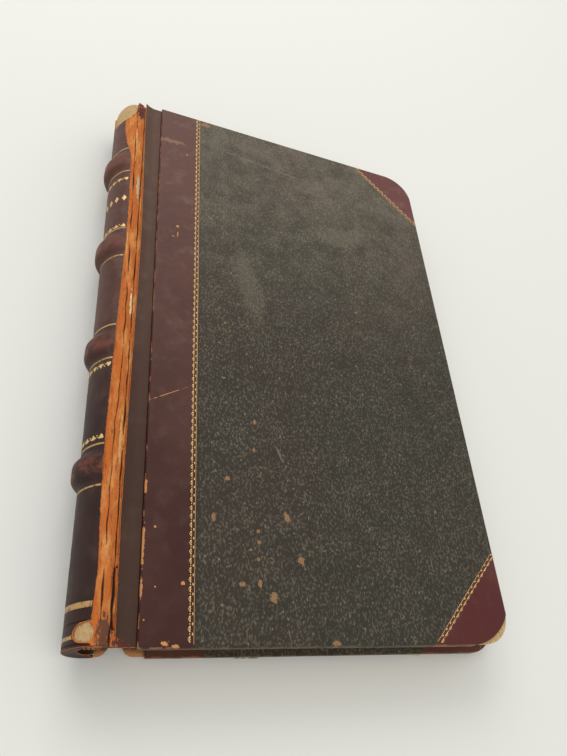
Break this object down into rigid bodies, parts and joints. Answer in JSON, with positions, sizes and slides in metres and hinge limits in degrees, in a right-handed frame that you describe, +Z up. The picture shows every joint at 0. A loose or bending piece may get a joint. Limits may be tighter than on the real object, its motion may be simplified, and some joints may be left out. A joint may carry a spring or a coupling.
{
  "type": "antique leather book",
  "caption": "Half-leather account book lying shut on its back cover: rounded spine with raised bands, torn front joint, cloth sides, leather corners, both covers hinged.",
  "frame": {"origin": "centre of the whole book's footprint, on the table under the back cover", "axes": "+X from spine to fore-edge, +Y from tail to head, +Z up through the front cover"},
  "size_m": [0.2506, 0.362, 0.0375],
  "materials": {
    "maroon_leather": "worn calf, dull, rubbed at the edges",
    "raw_leather": "torn, fibrous, with the grain peeled off",
    "dark_cloth": "pebble-grained book cloth, scuffed",
    "millboard": "tan millboard",
    "leaf_paper": "aged ledger paper",
    "endpaper": "aged endpaper",
    "linen": "unbleached linen"
  },
  "bodies": {
    "text_block": {"back_flyleaf": "endpaper", "back_joint_leather": "maroon_leather", "front_flyleaf": "endpaper", "front_joint_leather": "maroon_leather", "front_joint_raw_layer": "raw_leather", "raised_band_1": "millboard", "raised_band_2": "millboard", "raised_band_3": "millboard", "raised_band_4": "millboard", "sewing_tape_1": "linen", "sewing_tape_2": "linen", "sewing_tape_3": "linen", "sewing_tape_4": "linen", "spine_leather": "maroon_leather", "spine_lining_1": "linen", "spine_lining_2": "linen", "spine_lining_3": "linen", "spine_lining_4": "linen", "spine_lining_5": "linen", "spine_shell": "millboard", "text_block": "leaf_paper"},
    "front_cover": {"front_board": "millboard", "front_board_leather": "maroon_leather", "front_cloth_side": "dark_cloth", "front_head_corner": "maroon_leather", "front_tail_corner": "maroon_leather", "front_pastedown": "endpaper"},
    "back_cover": {"back_board": "millboard", "back_board_leather": "maroon_leather", "back_cloth_side": "dark_cloth", "back_head_corner": "maroon_leather", "back_tail_corner": "maroon_leather", "back_pastedown": "endpaper"}
  },
  "joints": [
    {"name": "front_hinge", "type": "hinge", "parent": "text_block", "child": "front_cover", "pos_m": [-0.09965, 0, 0.0355], "axis": [0, -1, 0], "range_deg": [0, 170]},
    {"name": "back_hinge", "type": "hinge", "parent": "text_block", "child": "back_cover", "pos_m": [-0.09065, 0, 0], "axis": [0, 1, 0], "range_deg": [0, 170]}
  ]
}
